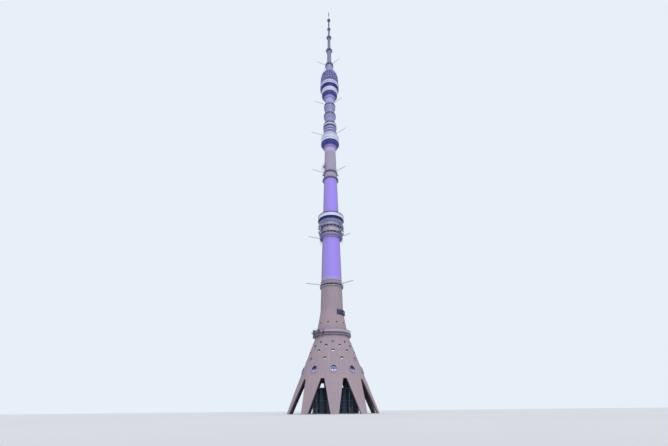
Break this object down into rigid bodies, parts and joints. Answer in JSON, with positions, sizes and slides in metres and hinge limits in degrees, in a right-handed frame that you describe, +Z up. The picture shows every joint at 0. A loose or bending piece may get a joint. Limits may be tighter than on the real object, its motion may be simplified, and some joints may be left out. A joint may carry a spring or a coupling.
{
  "type": "scale model of a television tower",
  "caption": "Scale model of a concrete television tower on spread legs, with galleries, two pods and a stepped steel antenna mast.",
  "frame": {"origin": "on the underside of the lobby's floor, on the tower's axis, at ground level", "axes": "+Z up along the tower's axis, -Y towards the leg that faces the viewer, +X to the viewer's right"},
  "size_m": [2.8192, 2.8996, 27.005],
  "materials": {
    "floor": "matte",
    "concrete": "matte",
    "plaster": "matte",
    "window_steel": "satin",
    "dark_glass": "glossy",
    "lobby_glass": "glossy",
    "roofing": "matte",
    "gallery_steel": "satin",
    "screen": "matte",
    "dish_paint": "satin",
    "white_cladding": "satin",
    "dark_cladding": "satin",
    "aerial_cladding": "satin",
    "mast_steel": "satin"
  },
  "bodies": {
    "root": {"lobby_floor": "floor", "lobby_core": "concrete", "lobby_frame": "window_steel", "lobby_glazing": "lobby_glass", "lobby_roof": "roofing", "legs": "concrete", "cone_wall_1": "concrete", "cone_wall_2": "concrete", "cone_wall_3": "concrete", "cone_wall_4": "concrete", "cone_wall_5": "concrete", "porthole_sleeves": "window_steel", "porthole_glass": "dark_glass", "cone_gallery": "concrete", "cone_parapet": "plaster", "steep_cone": "concrete", "lower_shaft": "concrete", "middle_shaft": "concrete", "upper_shaft": "concrete", "head_shaft": "concrete", "panel_rack": "gallery_steel", "service_galleries": "gallery_steel", "gallery_railings": "gallery_steel", "lamp_screens": "screen", "relay_gallery": "gallery_steel", "relay_dishes": "dish_paint", "gallery_aerials": "gallery_steel", "pod_floors": "gallery_steel", "pod_glazing": "dark_glass", "pod_soffits": "dark_cladding", "deck_parapets": "white_cladding", "equipment_wall": "white_cladding", "equipment_roof": "white_cladding", "ringed_drums": "aerial_cladding", "aerial_drums": "aerial_cladding", "main_pod_walls": "white_cladding", "aerial_decks": "gallery_steel", "aerial_ribs": "gallery_steel", "aerial_panels": "aerial_cladding", "head_cladding": "aerial_cladding", "head_roof": "roofing", "antenna_mast": "mast_steel", "mast_platforms": "mast_steel", "mast_aerials": "aerial_cladding", "instrument_booms": "gallery_steel"}
  },
  "joints": []
}
